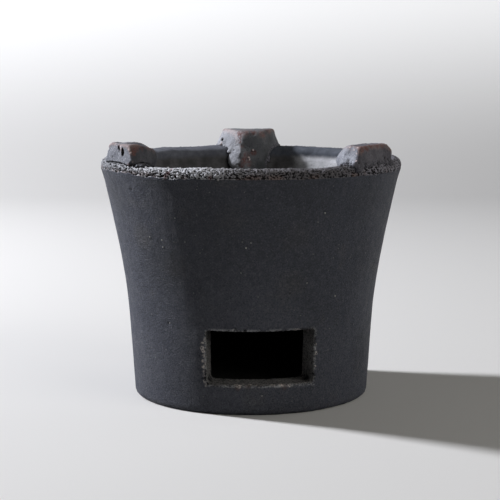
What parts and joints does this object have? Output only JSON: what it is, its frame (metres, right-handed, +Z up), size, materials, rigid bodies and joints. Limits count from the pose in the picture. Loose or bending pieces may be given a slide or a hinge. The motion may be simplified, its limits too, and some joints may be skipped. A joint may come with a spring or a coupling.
{
  "type": "clay charcoal tea stove",
  "caption": "Flared thick-walled clay stove with an ash door, a coarse coiled rim, wedge-shaped kettle lugs that saddle the rim, and a loose perforated grate.",
  "frame": {"origin": "on the table at the middle of the round foot", "axes": "+Z up along the stove's axis, -Y out of the ash door, +X to the right of the door seen from the front"},
  "size_m": [0.16, 0.16, 0.1372],
  "materials": {
    "slate_clay": "matte smoked slate-grey clay with a fine grit and faint burnishing marks",
    "grit_clay": "coarse gritty grey clay, pitted, browned along its lower edge",
    "lug_clay": "rough grey clay worn to terracotta on its edges",
    "fired_clay": "ash-bleached matte fired clay"
  },
  "bodies": {
    "stove": {"stove_wall": "slate_clay", "floor_slab": "fired_clay", "rim_coil": "grit_clay", "grate_ledge": "fired_clay", "kettle_lug_back": "lug_clay", "kettle_lug_left": "lug_clay", "kettle_lug_right": "lug_clay"},
    "grate": {"fire_grate": "fired_clay"}
  },
  "joints": [
    {"name": "grate_lift", "type": "slide", "parent": "stove", "child": "grate", "axis": [0, 0, 1], "range_m": [0, 0.09]}
  ]
}
